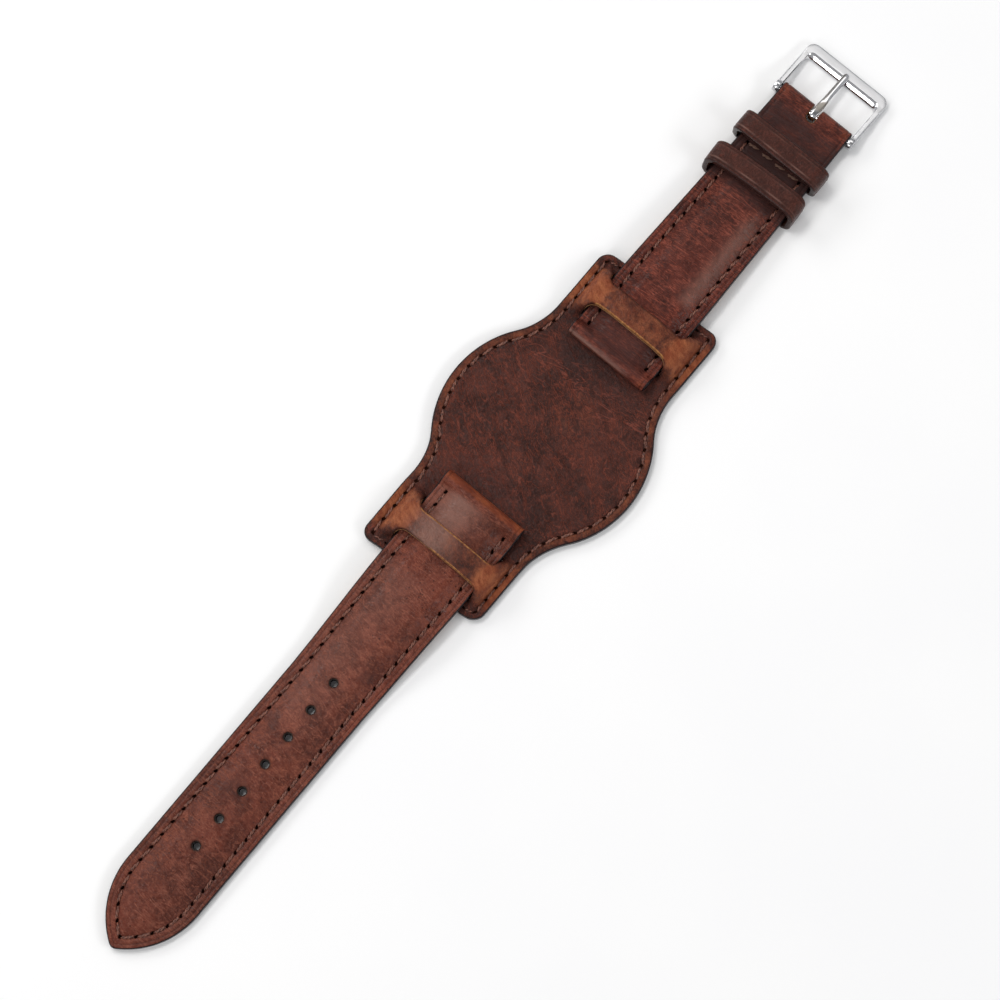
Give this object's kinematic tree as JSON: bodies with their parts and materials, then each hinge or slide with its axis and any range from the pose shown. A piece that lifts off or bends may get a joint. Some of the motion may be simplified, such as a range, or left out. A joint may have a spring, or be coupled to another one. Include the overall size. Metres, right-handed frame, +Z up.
{
  "type": "padded leather watch strap",
  "caption": "Two-piece padded leather watch strap with stitched edges and a tang buckle, threaded under the bridges of a wide leather pad.",
  "frame": {"origin": "middle of the pad's underside, the face that lies on the wrist", "axes": "+X along the strap towards the buckle, +Y across the strap, +Z up from the wrist through the pad"},
  "size_m": [0.2319, 0.045, 0.0076],
  "materials": {
    "upper_leather": "waxed, mottled and lightly creased",
    "lining_leather": "smooth, matte",
    "filler": "pressed felt, hidden",
    "thread": "waxed twisted thread",
    "brushed_steel": "fine brushed top with a polished bevel",
    "polished_steel": "polished"
  },
  "bodies": {
    "pad": {"pad_top_leather": "upper_leather", "pad_stiffener": "filler", "pad_lining": "lining_leather", "pad_stitching": "thread"},
    "tail_half": {"tail_top_leather": "upper_leather", "tail_padding": "filler", "tail_lining": "lining_leather", "tail_stitching": "thread"},
    "buckle_half": {"buckle_half_top_leather": "upper_leather", "buckle_half_padding": "filler", "buckle_half_lining": "lining_leather", "buckle_half_stitching": "thread", "fixed_keeper": "upper_leather", "spring_bar_tube": "polished_steel", "spring_bar_spring": "polished_steel"},
    "loose_keeper": {"floating_keeper": "upper_leather"},
    "buckle": {"buckle_frame": "brushed_steel"},
    "buckle_tang": {"tang": "polished_steel"},
    "tip_left": {"spring_bar_tip_left": "polished_steel"},
    "tip_right": {"spring_bar_tip_right": "polished_steel"}
  },
  "joints": [
    {"name": "tail_slide", "type": "slide", "parent": "pad", "child": "tail_half", "axis": [-1, 0, 0], "range_m": [-0.003, 0.005]},
    {"name": "buckle_half_slide", "type": "slide", "parent": "pad", "child": "buckle_half", "axis": [1, 0, 0], "range_m": [-0.003, 0.003]},
    {"name": "keeper_slide", "type": "slide", "parent": "buckle_half", "child": "loose_keeper", "axis": [-1, 0, 0], "range_m": [-0.002, 0.018]},
    {"name": "frame_swing", "type": "hinge", "parent": "buckle_half", "child": "buckle", "pos_m": [0.08675, 0, 0.00222], "axis": [0, -1, 0], "range_deg": [-75, 45]},
    {"name": "tang_swing", "type": "hinge", "parent": "buckle", "child": "buckle_tang", "pos_m": [0.08675, 0, 0.00222], "axis": [0, -1, 0], "range_deg": [0, 65]},
    {"name": "tip_left_press", "type": "slide", "parent": "buckle_half", "child": "tip_left", "axis": [0, -1, 0], "range_m": [0, 0.00085], "stiffness_N_per_m": 800, "springref_m": -0.001, "deforming": ["spring_bar_spring"]},
    {"name": "tip_right_press", "type": "slide", "parent": "buckle_half", "child": "tip_right", "axis": [0, 1, 0], "range_m": [0, 0.00085], "stiffness_N_per_m": 800, "springref_m": -0.001, "deforming": ["spring_bar_spring"]}
  ]
}
